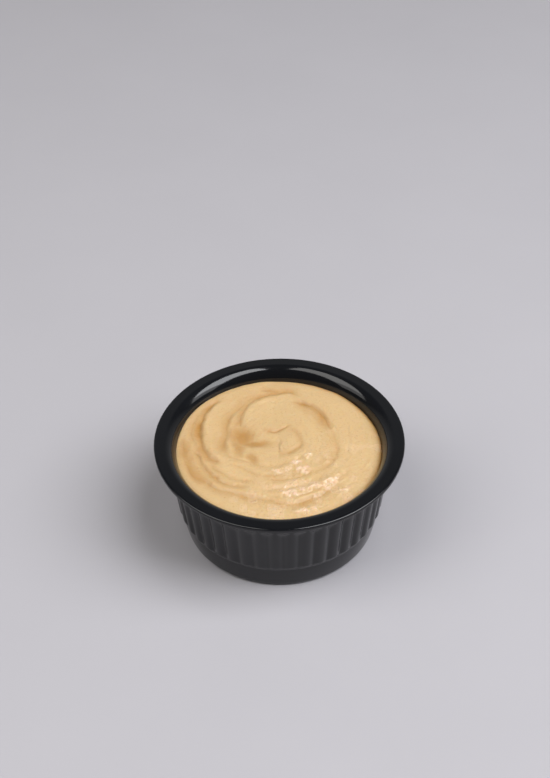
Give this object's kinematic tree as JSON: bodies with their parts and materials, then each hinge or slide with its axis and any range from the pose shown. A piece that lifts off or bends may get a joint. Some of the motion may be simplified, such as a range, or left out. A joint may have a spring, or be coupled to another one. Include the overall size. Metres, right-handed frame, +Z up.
{
  "type": "hummus in a fluted ramekin",
  "caption": "Round black ramekin with a wide flat rim and a fluted wall, filled with hummus whose top is swirled by a spoon.",
  "frame": {"origin": "centre of the flat base, on the surface that the ramekin stands on", "axes": "+Z up along the ramekin's axis, -Y towards the viewer of the front, +X to the front viewer's right"},
  "size_m": [0.083, 0.083, 0.0365],
  "materials": {
    "melamine": "moulded, glossy black",
    "puree": "smooth moist chickpea puree"
  },
  "bodies": {
    "root": {"ramekin": "melamine", "hummus": "puree"}
  },
  "joints": []
}
